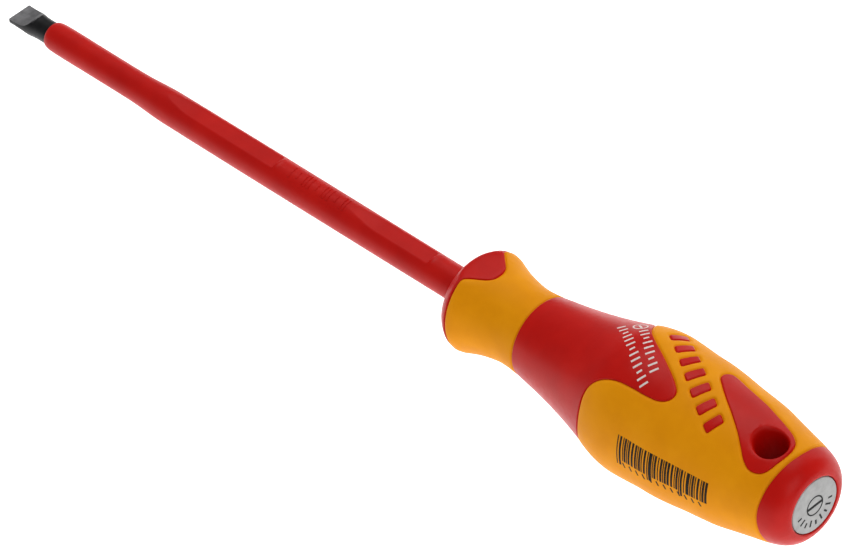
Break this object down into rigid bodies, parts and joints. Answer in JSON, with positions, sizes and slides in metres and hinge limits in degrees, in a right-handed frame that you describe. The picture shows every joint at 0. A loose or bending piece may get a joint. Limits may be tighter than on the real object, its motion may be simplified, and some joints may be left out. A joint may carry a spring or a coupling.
{
  "type": "insulated slotted screwdriver",
  "caption": "Insulated slotted screwdriver with a sleeved steel blade and a soft-grip handle that has a hanging hole through its rear end.",
  "frame": {"origin": "centre of the end face of the blade's tip", "axes": "+X along the tool from the tip to the butt, +Z square to the blade's flat faces and along the hanging hole, +Y along the blade's width"},
  "size_m": [0.295, 0.0396, 0.0396],
  "materials": {
    "blackened_steel": "blackened, bare where ground",
    "red_insulation": "satin",
    "core_plastic": "matt",
    "red_plastic": "satin",
    "yellow_grip": "soft satin",
    "grey_plastic": "satin"
  },
  "bodies": {
    "root": {"blade": "blackened_steel", "blade_insulation": "red_insulation", "handle_core": "core_plastic", "handle_shell": "red_plastic", "front_grip": "yellow_grip", "rear_grip": "yellow_grip", "end_badge": "grey_plastic"}
  },
  "joints": []
}
